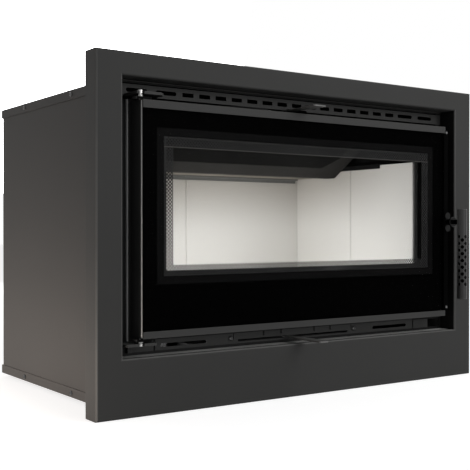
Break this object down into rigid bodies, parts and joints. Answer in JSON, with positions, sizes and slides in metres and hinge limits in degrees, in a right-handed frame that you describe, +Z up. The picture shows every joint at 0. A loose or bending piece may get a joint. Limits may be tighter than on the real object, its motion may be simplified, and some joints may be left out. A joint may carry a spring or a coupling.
{
  "type": "fireplace insert",
  "caption": "Closed fireplace insert: lined steel firebox in a sheet casing, glazed hinged door with a turning latch handle, sliding air levers, and a deep surround frame.",
  "frame": {"origin": "on the underside of the casing base, at the wall plane, midway between the sides", "axes": "+X to the right as seen from the room, +Y into the wall, +Z up"},
  "size_m": [0.8, 0.5924, 0.568],
  "materials": {
    "painted_steel": "matt dark grey stove paint",
    "casing_steel": "dark grey painted sheet",
    "stove_steel": "matt black heat-proof paint",
    "bright_steel": "turned steel",
    "handle_steel": "dark coated tube",
    "lining_board": "off-white fireproof board",
    "rope": "glass-fibre rope",
    "pane": "clear fireproof glass",
    "enamel": "black enamel print"
  },
  "bodies": {
    "insert": {"surround_frame": "painted_steel", "frame_straps": "painted_steel", "casing_base": "casing_steel", "casing_lid": "casing_steel", "casing_wrap": "casing_steel", "casing_front": "stove_steel", "casing_screws": "bright_steel", "upper_vent_fascia": "stove_steel", "lower_vent_fascia": "stove_steel", "fascia_screws": "bright_steel", "fascia_end_plates": "stove_steel", "landing_plate": "stove_steel", "firebox_shell": "stove_steel", "support_rails": "stove_steel", "back_lining_left": "lining_board", "back_lining_right": "lining_board", "side_lining_left_front": "lining_board", "side_lining_left_rear": "lining_board", "side_lining_right_front": "lining_board", "side_lining_right_rear": "lining_board", "floor_lining": "lining_board", "baffle_hood": "stove_steel", "baffle_shield": "stove_steel", "baffle_ledge_left": "stove_steel", "baffle_ledge_right": "stove_steel", "baffle_bar": "stove_steel", "smoke_board": "lining_board", "flue_spigot": "stove_steel", "air_box": "stove_steel", "intake_spigot": "stove_steel", "lower_slide_guides": "stove_steel", "upper_slide_guides": "stove_steel", "upper_hinge_bracket": "stove_steel", "lower_hinge_bracket": "stove_steel", "upper_hinge_pin": "bright_steel", "lower_hinge_pin": "bright_steel", "latch_keeper": "stove_steel"},
    "door": {"door_frame": "stove_steel", "door_seal": "rope", "glass_pane": "pane", "glass_print": "enamel", "inner_pane": "pane", "inner_print": "enamel", "pane_clips": "stove_steel", "top_glass_trim": "stove_steel", "bottom_glass_trim": "stove_steel", "latch_stile": "stove_steel", "upper_door_ear": "stove_steel", "lower_door_ear": "stove_steel", "hinge_bushes": "bright_steel", "stile_screws": "bright_steel", "escutcheon": "handle_steel"},
    "handle": {"latch_spindle": "bright_steel", "latch_cam": "bright_steel", "handle_tube": "handle_steel", "handle_caps": "handle_steel"},
    "lower_air_slider": {"lower_shutter": "stove_steel", "lower_air_lever": "stove_steel"},
    "upper_air_slider": {"upper_shutter": "stove_steel", "upper_air_lever": "stove_steel"}
  },
  "joints": [
    {"name": "door_hinge", "type": "hinge", "parent": "insert", "child": "door", "pos_m": [-0.3263, -0.033, 0.289], "axis": [0, 0, -1], "range_deg": [0, 105], "deforming": ["latch_keeper"]},
    {"name": "handle_turn", "type": "hinge", "parent": "door", "child": "handle", "pos_m": [0.334, -0.074, 0.2885], "axis": [0, -1, 0], "range_deg": [0, 90]},
    {"name": "lower_air_slide", "type": "slide", "parent": "insert", "child": "lower_air_slider", "axis": [1, 0, 0], "range_m": [-0.0985, 0.1285]},
    {"name": "upper_air_slide", "type": "slide", "parent": "insert", "child": "upper_air_slider", "axis": [1, 0, 0], "range_m": [-0.0015, 0.0325]}
  ]
}
